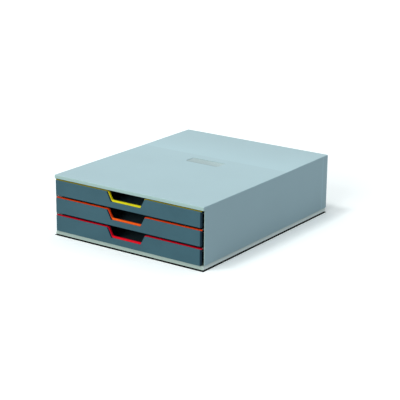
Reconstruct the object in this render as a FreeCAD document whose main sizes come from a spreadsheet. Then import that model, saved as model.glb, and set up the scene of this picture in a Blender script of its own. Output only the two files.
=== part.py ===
import FreeCAD, Part
import math
import os
import re

import Sketcher

# Desktop file drawer: a moulded housing with three shallow drawers for A4 papers.
#
# Frame: millimetres, +Z up, the drawer fronts face -Y. The origin is at the middle
# of the box that bounds the whole object, on the surface that it stands on.
# Every sub-part is one PartDesign body, and its sketches take their sizes from the sheet.

# ---------------------------------------------------------------- driving sizes

SIZES = {
    # housing
    "case_width": (280.0, "outer width of the housing"),
    "case_depth": (354.0, "housing from the front lip to the back"),
    "case_height": (97.8, "from the desk to the top of the rear crown"),
    "wall": (2.4, "side walls"),
    "top_thickness": (2.4, "top plate in front of the crease"),
    "rear_thickness": (2.4, "back panel"),
    "edge_radius": (1.0, "outer long edges of the top"),
    "lip_height": (5.3, "front lip under the top's front edge"),
    "lip_reach": (3.3, "front lip ahead of the side walls"),
    "lip_corner": (1.6, "upright corners of the front lip"),
    "crown_rise": (0.6, "rise of the top behind the crease"),
    "crown_length": (125.0, "from the crease to the back"),
    "rebate_depth": (3.0, "thin front edge of the side walls, along Y"),
    "rebate_edge": (1.0, "thickness left at that front edge"),
    "top_rib_width": (1.4, "ribs under the top plate"),
    "top_rib_depth": (1.4, "ribs under the top plate"),
    "top_rib_inset": (8.0, "rib ends short of the front and the back panel"),
    "top_rib_spread": (47.0, "from the middle to the first rib, and on to the second"),
    # bare name plate in the top
    "plate_width": (62.0, "name plate, along X"),
    "plate_length": (20.0, "name plate, along Y"),
    "plate_offset": (5.0, "middle of the plate, right of the housing's middle"),
    "plate_thickness": (0.7, "name plate"),
    "plate_pocket": (1.0, "depth of its pocket in the top"),
    "plate_gap": (0.4, "gap round the plate"),
    "plate_margin": (19.6, "from the pocket to the crease"),
    "plate_corner": (2.0, "corner radius of the plate"),
    # base
    "foot_height": (2.3, "from the desk to the skirt"),
    "skirt_height": (5.7, "base skirt"),
    "skirt_lean": (0.9, "how far the skirt leans out towards its lower edge"),
    "skirt_corner": (2.0, "upright corners of the skirt"),
    "skirt_wall": (2.6, "skirt at its thinnest"),
    "pan_floor": (2.2, "floor of the base pan"),
    "pan_rib_width": (1.4, "ribs under the pan"),
    "pan_rib_depth": (2.0, "ribs under the pan"),
    "pan_rib_spread": (68.0, "between the ribs that run along Y"),
    "pan_rib_pitch": (72.0, "between the ribs that run along X"),
    "tongue_length": (32.0, "upright tongues of the pan that locate the walls"),
    "tongue_thickness": (1.4, "tongues"),
    "tongue_height": (4.5, "tongues"),
    "tongue_pitch": (96.0, "between tongues, along Y"),
    # feet
    "foot_width": (22.0, "rubber foot, along X"),
    "foot_length": (14.0, "rubber foot, along Y"),
    "foot_corner": (4.0, "upright corners of a foot"),
    "foot_bevel": (0.6, "lower edge of a foot"),
    "foot_seat": (0.4, "how far a foot stands up inside the skirt"),
    "foot_inset_side": (22.0, "foot centre from the side"),
    "foot_inset_end": (24.0, "foot centre from the front or back"),
    "boss_margin": (2.0, "boss of the pan round the foot glued to it"),
    # drawers
    "front_proud": (2.0, "drawer fronts ahead of the front lip"),
    "front_inset": (3.4, "ends of a front inside the housing's sides"),
    "sill_gap": (1.7, "between the sill and the lowest drawer's own zero"),
    "sill_cover": (1.2, "how much further down the lowest front reaches"),
    "front_gap": (5.0, "between one front and the next"),
    "lip_gap": (2.2, "between the highest front and the lip"),
    "face_thickness": (2.4, "face of a drawer front"),
    "return_depth": (4.2, "turned-back ends and bottom of a front"),
    "return_thickness": (1.6, "turned-back ends and bottom of a front"),
    "front_end_radius": (2.0, "upright front edges of a front"),
    "front_bevel": (0.6, "top and notch edges of a front"),
    "notch_top_width": (70.0, "finger notch at the top"),
    "notch_bottom_width": (54.0, "finger notch at the bottom"),
    "notch_sill": (8.5, "front left under the finger notch"),
    "notch_radius": (3.0, "corners of the finger notch"),
    # coloured grip strip
    "strip_leaf": (1.0, "leaf between the front and the tray"),
    "strip_root": (0.3, "how far the leaf runs up into the cap"),
    "strip_leg": (5.0, "how far the leaf reaches down from the edge"),
    "strip_depth": (3.5, "cap of the strip, along Y"),
    "strip_rise": (0.9, "cap above the front's edge"),
    "strip_bevel": (0.4, "front edge of the cap"),
    "strip_rise_notch": (2.2, "cap above the bottom of the notch"),
    # trays
    "tray_wall": (1.8, "tray walls"),
    "tray_floor": (1.8, "tray floor"),
    "tray_under": (1.0, "tray's underside above the front's lower edge"),
    "tray_corner": (4.0, "upright corners of a tray, outside"),
    "tray_floor_radius": (2.0, "between a tray's floor and its walls, inside"),
    "tray_bevel": (2.0, "lower edges of a tray, outside"),
    "tray_draft": (1.0, "lean of the tray's walls in degrees"),
    "tray_rear_gap": (0.4, "between a closed tray and the back stops"),
    "rim_drop": (2.0, "side rims below the front's top edge"),
    "rim_thickness": (1.5, "sliding rims"),
    "rim_reach": (5.6, "sliding rims beyond the tray's walls"),
    # hooks that hold a front on its tray
    "hook_width": (8.0, "hooks of a front"),
    "hook_thickness": (1.8, "hooks of a front"),
    "hook_reach": (2.2, "hooks beyond the tray's front wall"),
    "hook_play": (0.5, "between a barb and the tray's front wall"),
    "hook_barb": (0.8, "barb of a hook"),
    "hook_slope": (1.0, "sloped nose of a hook"),
    "hook_height": (9.4, "hooks above the front's lower edge"),
    "hook_near": (60.0, "inner hooks from the middle"),
    "hook_far": (114.0, "outer hooks from the middle"),
    # rails
    "rail_base": (1.6, "web of a rail, against the wall"),
    "rail_half_height": (4.2, "web of a rail, from the groove's middle"),
    "rail_bevel": (0.9, "bevelled edges of the web, under the keepers"),
    "ledge_thickness": (1.5, "ledges above and below the groove"),
    "rail_front_gap": (4.8, "from a tray's front wall to the rail"),
    "keeper_thickness": (1.4, "ribs of the wall that hold a rail"),
    "slide_gap": (0.4, "working gap above, below and past the rims"),
    "side_gap": (0.7, "between a rim and the web of its rail"),
    "ledge_gap": (2.0, "between a ledge and the tray's wall"),
    # stops
    "pull_out": (250.0, "travel of a drawer"),
    "stop_length": (6.0, "stop lugs and stop blocks, along Y"),
    "stop_height": (3.0, "stop lugs under the rims"),
    "back_stop_reach": (3.2, "stops on the back panel"),
    "back_stop_width": (24.0, "stops on the back panel"),
    "back_stop_spread": (62.0, "stops from the middle"),
    # fits and joins
    "fit_gap": (0.2, "round a hook in its slot, and round a tray's front wall"),
    "overlap": (0.5, "how far a rib or block runs into its plate, and a cut past a face"),
    # back panel
    "panel_field": (0.6, "depth of the field in the back panel"),
    "panel_frame": (12.0, "frame left round that field"),
    "panel_corner": (6.0, "corners of that field"),
}

LEVELS = ("bottom", "middle", "top")
SIDES = (("left", -1), ("right", 1))
ENDS = (("front", -1), ("rear", 1))

doc = FreeCAD.newDocument("desktop_file_drawer")
sheet = doc.addObject("Spreadsheet::Sheet", "Sizes")
for row, (size, (value, note)) in enumerate(SIZES.items(), start=1):
    sheet.set(f"A{row}", size)
    sheet.set(f"B{row}", str(value))
    sheet.set(f"C{row}", note)
    sheet.setAlias(f"B{row}", size)
doc.recompute()

# ---------------------------------------------------------------- places worked out from the sizes

FRONT_Y = "(-(case_depth + front_proud) / 2)"
LIP_Y = f"({FRONT_Y} + front_proud)"
WALL_Y = f"({LIP_Y} + lip_reach)"
BACK_Y = f"({FRONT_Y} + front_proud + case_depth)"
PANEL_Y = f"({BACK_Y} - rear_thickness)"
CREASE_Y = f"({BACK_Y} - crown_length)"
SILL_Z = "(foot_height + skirt_height)"
DECK_Z = "(case_height - crown_rise)"
CEILING_Z = f"({DECK_Z} - top_thickness)"
WALL_X = "(case_width / 2 - wall)"

FRONT_X = "(case_width / 2 - front_inset)"
FRONT_Z = f"({SILL_Z} + sill_gap)"
FRONT_HEIGHT = f"(({DECK_Z} - lip_height - lip_gap - {FRONT_Z} - 2 * front_gap) / 3)"
LEAF_Y = f"({FRONT_Y} + face_thickness)"
TRAY_Y = f"({LEAF_Y} + strip_leaf)"
TRAY_INSIDE_Y = f"({TRAY_Y} + tray_wall)"
TRAY_REAR_Y = f"({PANEL_Y} - back_stop_reach - tray_rear_gap)"
RIM_Z = f"({FRONT_HEIGHT} - rim_drop)"
RIM_X = f"({WALL_X} - rail_base - side_gap)"
TRAY_X = f"({RIM_X} - rim_reach)"
LEDGE_X = f"({TRAY_X} + ledge_gap)"
PLATE_X = f"({FRONT_X} - return_thickness - fit_gap)"
RAIL_Y = f"({TRAY_INSIDE_Y} + rail_front_gap)"
GROOVE_Z = f"({RIM_Z} - rim_thickness / 2)"
HALF_GROOVE = "(rim_thickness / 2 + slide_gap)"
LUG_Y = f"({RAIL_Y} + stop_length + pull_out + slide_gap)"


def level_z(level):
    """Height of a drawer's own zero, the lower edge of its front."""
    return f"({FRONT_Z} + {level} * ({FRONT_HEIGHT} + front_gap))"


# ---------------------------------------------------------------- modelling helpers

NEAR = 1e-4


def cells(text):
    """Point each size's name in an expression at its cell in the sheet."""
    return re.sub(r"[a-z][a-z_]+", lambda m: f"Sizes.{m[0]}" if m[0] in SIZES else m[0], text)


def number(text):
    """The present value of an expression."""
    return float(sheet.evalExpression(cells(text)))


def new_body(name, lift=None):
    """An empty body, lifted by an expression where the piece is drawn in a drawer's own frame."""
    body = doc.addObject("PartDesign::Body", name)
    body.Label = name
    if lift:
        body.setExpression("Placement.Base.z", cells(lift))
    return body


def new_sketch(body, name, role, level="0"):
    """A sketch on one of the body's own planes, moved along the plane's normal by an expression."""
    sketch = body.newObject("Sketcher::SketchObject", name)
    plane = next(each for each in body.Origin.OriginFeatures if each.Role == role)
    sketch.AttachmentSupport = [(plane, "")]
    sketch.MapMode = "FlatFace"
    sketch.setExpression("AttachmentOffset.Base.z", cells(level))
    return sketch


def plan(body, name, height):
    """A sketch that lies flat at a height: x is X and y is Y."""
    return new_sketch(body, name, "XY_Plane", height)


def elevation(body, name, along):
    """A sketch that stands across Y at a place: x is X and y is Z."""
    return new_sketch(body, name, "XZ_Plane", f"-({along})")


def section(body, name, across):
    """A sketch that stands across X at a place: x is Y and y is Z."""
    return new_sketch(body, name, "YZ_Plane", across)


def pin(sketch, edge, end, place):
    """Hold one end of an edge at a pair of expressions."""
    for kind, text in zip(("DistanceX", "DistanceY"), place):
        index = sketch.addConstraint(Sketcher.Constraint(kind, -1, 1, edge, end, number(text)))
        sketch.setExpression(f"Constraints[{index}]", cells(text))


def polygon(sketch, corners):
    """A closed outline through corners given as pairs of expressions."""
    points = [FreeCAD.Vector(number(x), number(y), 0) for x, y in corners]
    first = sketch.GeometryCount
    count = len(points)
    for index in range(count):
        line = Part.LineSegment(points[index], points[(index + 1) % count])
        sketch.addGeometry(line, False)
    for index in range(count):
        following = first + (index + 1) % count
        sketch.addConstraint(Sketcher.Constraint("Coincident", first + index, 2, following, 1))
        pin(sketch, first + index, 1, corners[index])
    return first


def rectangle(sketch, left, right, low, high):
    polygon(sketch, ((left, low), (right, low), (right, high), (left, high)))


def pad(body, sketch, length, backwards=False, taper=None):
    """Add material from a sketch: along the plane's normal, or backwards from it."""
    feature = body.newObject("PartDesign::Pad", f"pad_{sketch.Name}")
    feature.Profile = sketch
    feature.Reversed = backwards
    feature.setExpression("Length", cells(length))
    if taper:
        feature.setExpression("TaperAngle", cells(taper))
    doc.recompute()
    return feature


def pocket(body, sketch, length, backwards=False, taper=None):
    """Remove material behind a sketch's normal, or ahead of it when backwards."""
    before = body.Tip.Shape.Volume
    feature = body.newObject("PartDesign::Pocket", f"pocket_{sketch.Name}")
    feature.Profile = sketch
    feature.Reversed = backwards
    feature.setExpression("Length", cells(length))
    if taper:
        feature.setExpression("TaperAngle", cells(taper))
    doc.recompute()
    if not feature.Shape.Volume < before - NEAR:
        raise ValueError(f"{feature.Name} cuts nothing")
    return feature


def dress(body, name, kind, size, wanted):
    """Work the edges of the body's present shape that a test picks."""
    base = body.Tip
    picked = [f"Edge{i}" for i, edge in enumerate(base.Shape.Edges, start=1) if wanted(edge)]
    if not picked:
        raise ValueError(f"{name} finds no edge")
    feature = body.newObject(f"PartDesign::{kind}", name)
    feature.Base = (base, picked)
    feature.setExpression("Radius" if kind == "Fillet" else "Size", cells(size))
    doc.recompute()
    if feature.Shape.isNull() or not feature.Shape.isValid():
        raise ValueError(f"{name} can't be worked by {number(size)}")
    return feature


def blend(body, name, radius, wanted):
    """Round the edges that a test picks."""
    return dress(body, name, "Fillet", radius, wanted)


def bevel(body, name, size, wanted):
    """Bevel the edges that a test picks."""
    return dress(body, name, "Chamfer", size, wanted)


def runs_along(edge, axis):
    """Whether an edge is straight and parallel to the X, Y or Z axis (0, 1 or 2)."""
    if edge.Curve.TypeId != "Part::GeomLine":
        return False
    ends = [vertex.Point for vertex in edge.Vertexes]
    return all(abs(ends[0][other] - ends[1][other]) < NEAR for other in range(3) if other != axis)


def lies_at(edge, axis, *places):
    """Whether an edge's box is flat on an axis, at one of the places."""
    box = edge.BoundBox
    low, high = ((box.XMin, box.XMax), (box.YMin, box.YMax), (box.ZMin, box.ZMax))[axis]
    return high - low < NEAR and any(abs((low + high) / 2 - place) < NEAR for place in places)


# ---------------------------------------------------------------- housing


def build_cover():
    """Top and both walls in one moulding: a U section, a front lip, and a top with a crease."""
    body = new_body("housing_cover")
    side, inner = "case_width / 2", WALL_X
    shell = elevation(body, "cover_section", WALL_Y)
    polygon(shell, (
        (f"-{side}", SILL_Z), (f"-{inner}", SILL_Z), (f"-{inner}", CEILING_Z), (inner, CEILING_Z),
        (inner, SILL_Z), (side, SILL_Z), (side, "case_height"), (f"-{side}", "case_height"),
    ))
    pad(body, shell, "case_depth - lip_reach", backwards=True)
    lip = elevation(body, "lip_section", LIP_Y)
    rectangle(lip, f"-{side}", side, f"{DECK_Z} - lip_height", "case_height")
    pad(body, lip, "lip_reach", backwards=True)

    cut_crown(body)
    lip_y = number(LIP_Y)
    blend(body, "lip_corners", "lip_corner", lambda e: runs_along(e, 2) and lies_at(e, 1, lip_y))
    deck, half = number(DECK_Z), number(side)
    blend(body, "long_edges", "edge_radius",
          lambda e: lies_at(e, 0, -half, half) and e.BoundBox.ZMin > deck - NEAR)

    rebate = plan(body, "front_rebate", CEILING_Z)
    for _, sign in SIDES:
        rectangle(rebate, f"{sign} * {inner}", f"{sign} * ({side} - rebate_edge)",
                  WALL_Y, f"{WALL_Y} + rebate_depth")
    pocket(body, rebate, f"{CEILING_Z} - {SILL_Z}")

    add_keepers(body)
    ribs = elevation(body, "top_ribs", f"{WALL_Y} + top_rib_inset")
    for place in (-2, -1, 1, 2):
        middle = f"{place} * top_rib_spread"
        rectangle(ribs, f"{middle} - top_rib_width / 2", f"{middle} + top_rib_width / 2",
                  f"{CEILING_Z} - top_rib_depth", f"{CEILING_Z} + overlap")
    pad(body, ribs, f"{PANEL_Y} - {WALL_Y} - 2 * top_rib_inset", backwards=True)

    seat = plan(body, "name_plate_pocket", DECK_Z)
    half_width = "(plate_width / 2 + plate_gap)"
    rectangle(seat, f"plate_offset - {half_width}", f"plate_offset + {half_width}",
              f"{CREASE_Y} - plate_margin - plate_length - 2 * plate_gap", f"{CREASE_Y} - plate_margin")
    pocket(body, seat, "plate_pocket")
    floor_z = number(f"{DECK_Z} - plate_pocket")
    blend(body, "name_plate_corners", "plate_corner + plate_gap",
          lambda e: runs_along(e, 2) and abs(e.BoundBox.ZMin - floor_z) < NEAR)
    return body


def cut_crown(body):
    """Lower the top to a flat deck, with one flat arc that rises behind the crease to the back."""
    crown = section(body, "crown_line", "-(case_width / 2 + overlap)")
    corners = (
        (f"{LIP_Y} - overlap", DECK_Z), (CREASE_Y, DECK_Z), (BACK_Y, "case_height"),
        (BACK_Y, "case_height + overlap"), (f"{LIP_Y} - overlap", "case_height + overlap"),
    )
    first = polygon(crown, corners)
    rise, length = number("crown_rise"), number("crown_length")
    radius = (length ** 2 + rise ** 2) / (2 * rise)
    crease, back = number(CREASE_Y), number(BACK_Y)
    height = number("case_height")
    middle_y = crease + length / 2
    middle_z = height - radius + math.sqrt(radius ** 2 - (length / 2) ** 2)
    arc = Part.Arc(FreeCAD.Vector(crease, height - rise, 0), FreeCAD.Vector(middle_y, middle_z, 0),
                   FreeCAD.Vector(back, height, 0))
    crown.toggleConstruction(first + 1)
    edge = crown.addGeometry(arc, False)
    start = 1 if crown.getPoint(edge, 1).x < crown.getPoint(edge, 2).x else 2
    crown.addConstraint(Sketcher.Constraint("Coincident", edge, start, first + 1, 1))
    crown.addConstraint(Sketcher.Constraint("Coincident", edge, 3 - start, first + 1, 2))
    crown.addConstraint(Sketcher.Constraint("Vertical", edge, 3, edge, 3 - start))
    pocket(body, crown, "case_width + 2 * overlap", backwards=True)


def add_keepers(body):
    """Undercut ribs on the walls, above and below each rail, that the rails slide in behind."""
    keepers = elevation(body, "rail_keepers", RAIL_Y)
    for level in range(len(LEVELS)):
        middle = f"({level_z(level)} + {GROOVE_Z})"
        for _, sign in SIDES:
            for up in (-1, 1):
                low = f"{middle} + {up} * rail_half_height"
                high = f"{low} + {up} * keeper_thickness"
                root, face = f"{sign} * ({WALL_X} + overlap)", f"{sign} * {WALL_X}"
                nose = f"{sign} * ({WALL_X} - rail_base)"
                polygon(keepers, (
                    (root, low), (face, low), (nose, f"{low} - {up} * rail_bevel"),
                    (nose, low), (face, high), (root, high),
                ))
    pad(body, keepers, f"{PANEL_Y} - {RAIL_Y}", backwards=True)


def build_back_panel():
    """Panel between the walls, with a sunk field outside and stops for the trays inside."""
    body = new_body("back_panel")
    panel = elevation(body, "panel_outline", PANEL_Y)
    rectangle(panel, f"-{WALL_X}", WALL_X, SILL_Z, CEILING_Z)
    pad(body, panel, "rear_thickness", backwards=True)
    field = elevation(body, "panel_field", BACK_Y)
    rectangle(field, f"-({WALL_X} - panel_frame)", f"{WALL_X} - panel_frame",
              f"{SILL_Z} + panel_frame", f"{CEILING_Z} - panel_frame")
    pocket(body, field, "panel_field", backwards=True)
    back, thickness = number(BACK_Y), number("rear_thickness")
    blend(body, "field_corners", "panel_corner",
          lambda e: runs_along(e, 1) and abs(e.BoundBox.YMax - back) < NEAR and e.Length < thickness)
    stops = elevation(body, "tray_stops", PANEL_Y)
    for level in range(len(LEVELS)):
        low = f"({level_z(level)} + tray_under + tray_floor)"
        for _, sign in SIDES:
            middle = f"{sign} * back_stop_spread"
            rectangle(stops, f"{middle} - back_stop_width / 2", f"{middle} + back_stop_width / 2",
                      low, f"{low} + {RIM_Z} / 2")
    pad(body, stops, "back_stop_reach")
    return body


def build_name_plate():
    """Bare plate that lies in the pocket in front of the crease."""
    body = new_body("name_plate")
    plate = plan(body, "plate_outline", f"{DECK_Z} - plate_pocket")
    rectangle(plate, "plate_offset - plate_width / 2", "plate_offset + plate_width / 2",
              f"{CREASE_Y} - plate_margin - plate_gap - plate_length",
              f"{CREASE_Y} - plate_margin - plate_gap")
    pad(body, plate, "plate_thickness")
    blend(body, "plate_corners", "plate_corner", lambda e: runs_along(e, 2))
    return body


# ---------------------------------------------------------------- base and feet


def foot_places():
    """Name and centre of each foot, as expressions."""
    for end, along in ENDS:
        edge = LIP_Y if along < 0 else BACK_Y
        for side, sign in SIDES:
            centre = (f"{sign} * (case_width / 2 - foot_inset_side)", f"{edge} - {along} * foot_inset_end")
            yield f"foot_{end}_{side}", centre


def foot_outline(sketch, centre, margin):
    """Rectangle of a foot about its centre, or of its boss with a margin round the foot."""
    across, along = centre
    half_width, half_length = f"(foot_width / 2 + {margin})", f"(foot_length / 2 + {margin})"
    rectangle(sketch, f"{across} - {half_width}", f"{across} + {half_width}",
              f"{along} - {half_length}", f"{along} + {half_length}")


def build_base_pan():
    """Shallow pan that the walls stand on: leaning skirt, ribs and foot bosses below, tongues above."""
    body = new_body("base_pan")
    outline = plan(body, "pan_outline", SILL_Z)
    side = "(case_width / 2 - skirt_lean)"
    rectangle(outline, f"-{side}", side, f"{LIP_Y} + skirt_lean", f"{BACK_Y} - skirt_lean")
    pad(body, outline, "skirt_height", backwards=True, taper="atan(skirt_lean / skirt_height)")
    corner_size = number("skirt_lean + overlap")
    blend(body, "skirt_corners", "skirt_corner",
          lambda e: e.BoundBox.ZLength > corner_size and e.BoundBox.XLength < corner_size)

    hollow = plan(body, "pan_hollow", "foot_height")
    inset = "(skirt_lean + skirt_wall)"
    rectangle(hollow, f"-(case_width / 2 - {inset})", f"case_width / 2 - {inset}",
              f"{LIP_Y} + {inset}", f"{BACK_Y} - {inset}")
    pocket(body, hollow, "skirt_height - pan_floor", backwards=True)

    floor_z = f"({SILL_Z} - pan_floor)"
    long_ribs = plan(body, "pan_ribs_along", floor_z)
    for place in (-1, 0, 1):
        middle = f"{place} * pan_rib_spread"
        rectangle(long_ribs, f"{middle} - pan_rib_width / 2", f"{middle} + pan_rib_width / 2",
                  f"{LIP_Y} + {inset} - overlap", f"{BACK_Y} - {inset} + overlap")
    pad(body, long_ribs, "pan_rib_depth", backwards=True)
    cross_ribs = plan(body, "pan_ribs_across", floor_z)
    for place in (-3, -1, 1, 3):
        middle = f"({LIP_Y} + {BACK_Y}) / 2 + {place} * pan_rib_pitch / 2"
        end = f"(case_width / 2 - {inset} + overlap)"
        rectangle(cross_ribs, f"-{end}", end,
                  f"{middle} - pan_rib_width / 2", f"{middle} + pan_rib_width / 2")
    pad(body, cross_ribs, "pan_rib_depth", backwards=True)

    bosses = plan(body, "foot_bosses", f"{floor_z} + overlap")
    for _, centre in foot_places():
        foot_outline(bosses, centre, "boss_margin")
    pad(body, bosses, f"{floor_z} + overlap - foot_height - foot_seat", backwards=True)

    tongues = plan(body, "wall_tongues", SILL_Z)
    for _, sign in SIDES:
        for place in (-1, 0, 1):
            middle = f"{place} * tongue_pitch"
            rectangle(tongues, f"{sign} * {WALL_X}", f"{sign} * ({WALL_X} - tongue_thickness)",
                      f"{middle} - tongue_length / 2", f"{middle} + tongue_length / 2")
    pad(body, tongues, "tongue_height")
    return body


def build_foot(name, centre):
    """Rubber foot: a pad with round corners and a bevelled lower edge."""
    body = new_body(name)
    body.setExpression("Placement.Base.x", cells(centre[0]))
    body.setExpression("Placement.Base.y", cells(centre[1]))
    outline = plan(body, f"{name}_outline", "0")
    foot_outline(outline, ("0", "0"), "0")
    pad(body, outline, "foot_height + foot_seat")
    blend(body, f"{name}_corners", "foot_corner", lambda e: runs_along(e, 2))
    bevel(body, f"{name}_edge", "foot_bevel", lambda e: lies_at(e, 2, 0))
    return body


# ---------------------------------------------------------------- rails


def build_rail(name, level, sign):
    """Grooved rail: a bevelled web on the wall, two ledges, and a stop block at the front."""
    body = new_body(name, f"{level_z(level)} + {GROOVE_Z}")

    def across(inward):
        return f"{sign} * ({WALL_X} - ({inward}))"

    tip = f"{WALL_X} - {LEDGE_X}"
    web, ledge = "rail_base", f"({HALF_GROOVE} + ledge_thickness)"
    groove = elevation(body, f"{name}_section", RAIL_Y)
    polygon(groove, (
        (across("0"), "-rail_half_height"), (across(web), "-(rail_half_height - rail_bevel)"),
        (across(web), f"-{ledge}"), (across(tip), f"-{ledge}"),
        (across(tip), f"-{HALF_GROOVE}"), (across(web), f"-{HALF_GROOVE}"),
        (across(web), HALF_GROOVE), (across(tip), HALF_GROOVE),
        (across(tip), ledge), (across(web), ledge),
        (across(web), "rail_half_height - rail_bevel"), (across("0"), "rail_half_height"),
    ))
    pad(body, groove, f"{PANEL_Y} - {RAIL_Y}", backwards=True)
    block = elevation(body, f"{name}_stop", RAIL_Y)
    rectangle(block, across(f"{tip} - overlap"), f"{sign} * ({TRAY_X} + slide_gap)",
              f"-{ledge}", f"-{HALF_GROOVE}")
    pad(body, block, "stop_length", backwards=True)
    return body


# ---------------------------------------------------------------- drawers


def flank(height, outwards):
    """Half width of the notch at a height, moved out square to its flank by a distance."""
    slope = f"((notch_top_width - notch_bottom_width) / 2 / ({FRONT_HEIGHT} - notch_sill))"
    return (f"(notch_bottom_width / 2 + ({height} - notch_sill) * {slope}"
            f" + ({outwards}) * sqrt(1 + {slope}^2))")


def notch_line(half, top, bottom, outwards):
    """Upper edge of a front from left to right, down through the notch and up again."""
    wide, narrow = flank(top, outwards), flank(bottom, outwards)
    return [(f"-{half}", top), (f"-{wide}", top), (f"-{narrow}", bottom),
            (narrow, bottom), (wide, top), (half, top)]


def notch_corner(edge):
    """Whether an edge runs along Y at a corner of the notch."""
    low = number("notch_bottom_width / 2 - notch_radius")
    high = number("notch_top_width / 2 + notch_radius")
    return runs_along(edge, 1) and low < abs(edge.BoundBox.Center.x) < high


def build_tray(name, level):
    """Moulded tray: drafted walls, sliding rims, a wide notched front wall and stop lugs."""
    body = new_body(name, level_z(level))
    shell = plan(body, f"{name}_outline", RIM_Z)
    rectangle(shell, f"-{TRAY_X}", TRAY_X, TRAY_Y, TRAY_REAR_Y)
    pad(body, shell, f"{RIM_Z} - tray_under", backwards=True, taper="-tray_draft")

    def upright(edge):
        return edge.BoundBox.ZLength > number(RIM_Z) / 2

    outer_edges = [edge.BoundBox.Center for edge in body.Tip.Shape.Edges if upright(edge)]

    room = plan(body, f"{name}_room", RIM_Z)
    rectangle(room, f"-({TRAY_X} - tray_wall)", f"{TRAY_X} - tray_wall",
              TRAY_INSIDE_Y, f"{TRAY_REAR_Y} - tray_wall")
    pocket(body, room, f"{RIM_Z} - tray_under - tray_floor", taper="-tray_draft")

    def outside(edge):
        middle = edge.BoundBox.Center
        return any(middle.distanceToPoint(place) < number("overlap") for place in outer_edges)

    blend(body, f"{name}_room_corners", "tray_corner - tray_wall",
          lambda e: upright(e) and not outside(e))
    floor_z, under = number("tray_under + tray_floor"), number("tray_under")
    blend(body, f"{name}_floor_edges", "tray_floor_radius", lambda e: lies_at(e, 2, floor_z))
    blend(body, f"{name}_corners", "tray_corner", lambda e: upright(e) and outside(e))
    bevel(body, f"{name}_lower_edges", "tray_bevel", lambda e: lies_at(e, 2, under))

    rims = plan(body, f"{name}_rims", RIM_Z)
    for _, sign in SIDES:
        rectangle(rims, f"{sign} * ({TRAY_X} - tray_wall / 2)", f"{sign} * {RIM_X}",
                  f"{TRAY_INSIDE_Y} - tray_wall / 2", TRAY_REAR_Y)
    pad(body, rims, "rim_thickness", backwards=True)
    wall = elevation(body, f"{name}_front_wall", TRAY_Y)
    rectangle(wall, f"-{PLATE_X}", PLATE_X, "return_thickness + fit_gap", FRONT_HEIGHT)
    pad(body, wall, "tray_wall", backwards=True)
    notch = elevation(body, f"{name}_notch", f"{TRAY_Y} - overlap")
    over, sill = f"({FRONT_HEIGHT} + overlap)", "notch_sill"
    polygon(notch, (
        (f"-{flank(over, 0)}", over), (f"-{flank(sill, 0)}", sill),
        (flank(sill, 0), sill), (flank(over, 0), over),
    ))
    pocket(body, notch, "tray_wall + 2 * overlap")
    blend(body, f"{name}_notch_corners", "notch_radius", notch_corner)
    slots = elevation(body, f"{name}_hook_slots", f"{TRAY_Y} - overlap")
    for place in ("hook_near", "hook_far"):
        for _, sign in SIDES:
            middle, half = f"{sign} * {place}", "(hook_width / 2 + fit_gap)"
            rectangle(slots, f"{middle} - {half}", f"{middle} + {half}",
                      "hook_height - fit_gap", "hook_height + hook_thickness + fit_gap")
    pocket(body, slots, "tray_wall + 2 * overlap")
    add_stop_lugs(body, name)
    return body


def add_stop_lugs(body, name):
    """Lugs under the rims, ramped behind, that meet the rails' stop blocks."""
    lugs = plan(body, f"{name}_stop_lugs", f"{RIM_Z} - rim_thickness + overlap")
    outer = f"({LEDGE_X} - slide_gap)"
    for _, sign in SIDES:
        polygon(lugs, (
            (f"{sign} * ({TRAY_X} - tray_wall / 2)", LUG_Y), (f"{sign} * {outer}", LUG_Y),
            (f"{sign} * {outer}", f"{LUG_Y} + stop_length / 2"),
            (f"{sign} * {TRAY_X}", f"{LUG_Y} + stop_length"),
            (f"{sign} * ({TRAY_X} - tray_wall / 2)", f"{LUG_Y} + stop_length"),
        ))
    pad(body, lugs, "stop_height + overlap", backwards=True)


def build_front(name, level):
    """Charcoal front: a face with the finger notch, turned-back ends and bottom, and four hooks."""
    body = new_body(name, level_z(level))
    face = elevation(body, f"{name}_face", FRONT_Y)
    upper = notch_line(FRONT_X, FRONT_HEIGHT, "notch_sill", 0)
    lower = "0" if level else "-sill_cover"
    polygon(face, [(FRONT_X, lower), (f"-{FRONT_X}", lower)] + upper)
    pad(body, face, "return_depth", backwards=True)
    blend(body, f"{name}_notch_corners", "notch_radius", notch_corner)
    hollow = elevation(body, f"{name}_hollow", LEAF_Y)
    rectangle(hollow, f"-({FRONT_X} - return_thickness)", f"{FRONT_X} - return_thickness",
              "return_thickness", f"{FRONT_HEIGHT} + overlap")
    pocket(body, hollow, "return_depth")

    front, side = number(FRONT_Y), number(FRONT_X)
    blend(body, f"{name}_ends", "front_end_radius",
          lambda e: runs_along(e, 2) and lies_at(e, 1, front) and lies_at(e, 0, -side, side))
    bevel(body, f"{name}_edges", "front_bevel",
          lambda e: lies_at(e, 1, front) and e.BoundBox.ZMax > NEAR)
    for place in ("hook_near", "hook_far"):
        for which, sign in SIDES:
            hook = section(body, f"{name}_{place}_{which}", f"{sign} * {place} - hook_width / 2")
            top = "(hook_height + hook_thickness)"
            root, tip = f"{LEAF_Y} - overlap", f"{TRAY_INSIDE_Y} + hook_reach"
            barb, crest = f"{TRAY_INSIDE_Y} + hook_play", f"{top} + hook_barb"
            polygon(hook, (
                (root, "hook_height"), (tip, "hook_height"), (tip, top),
                (f"{tip} - hook_slope", crest), (barb, crest), (barb, top), (root, top),
            ))
            pad(body, hook, "hook_width")
    return body


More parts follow.
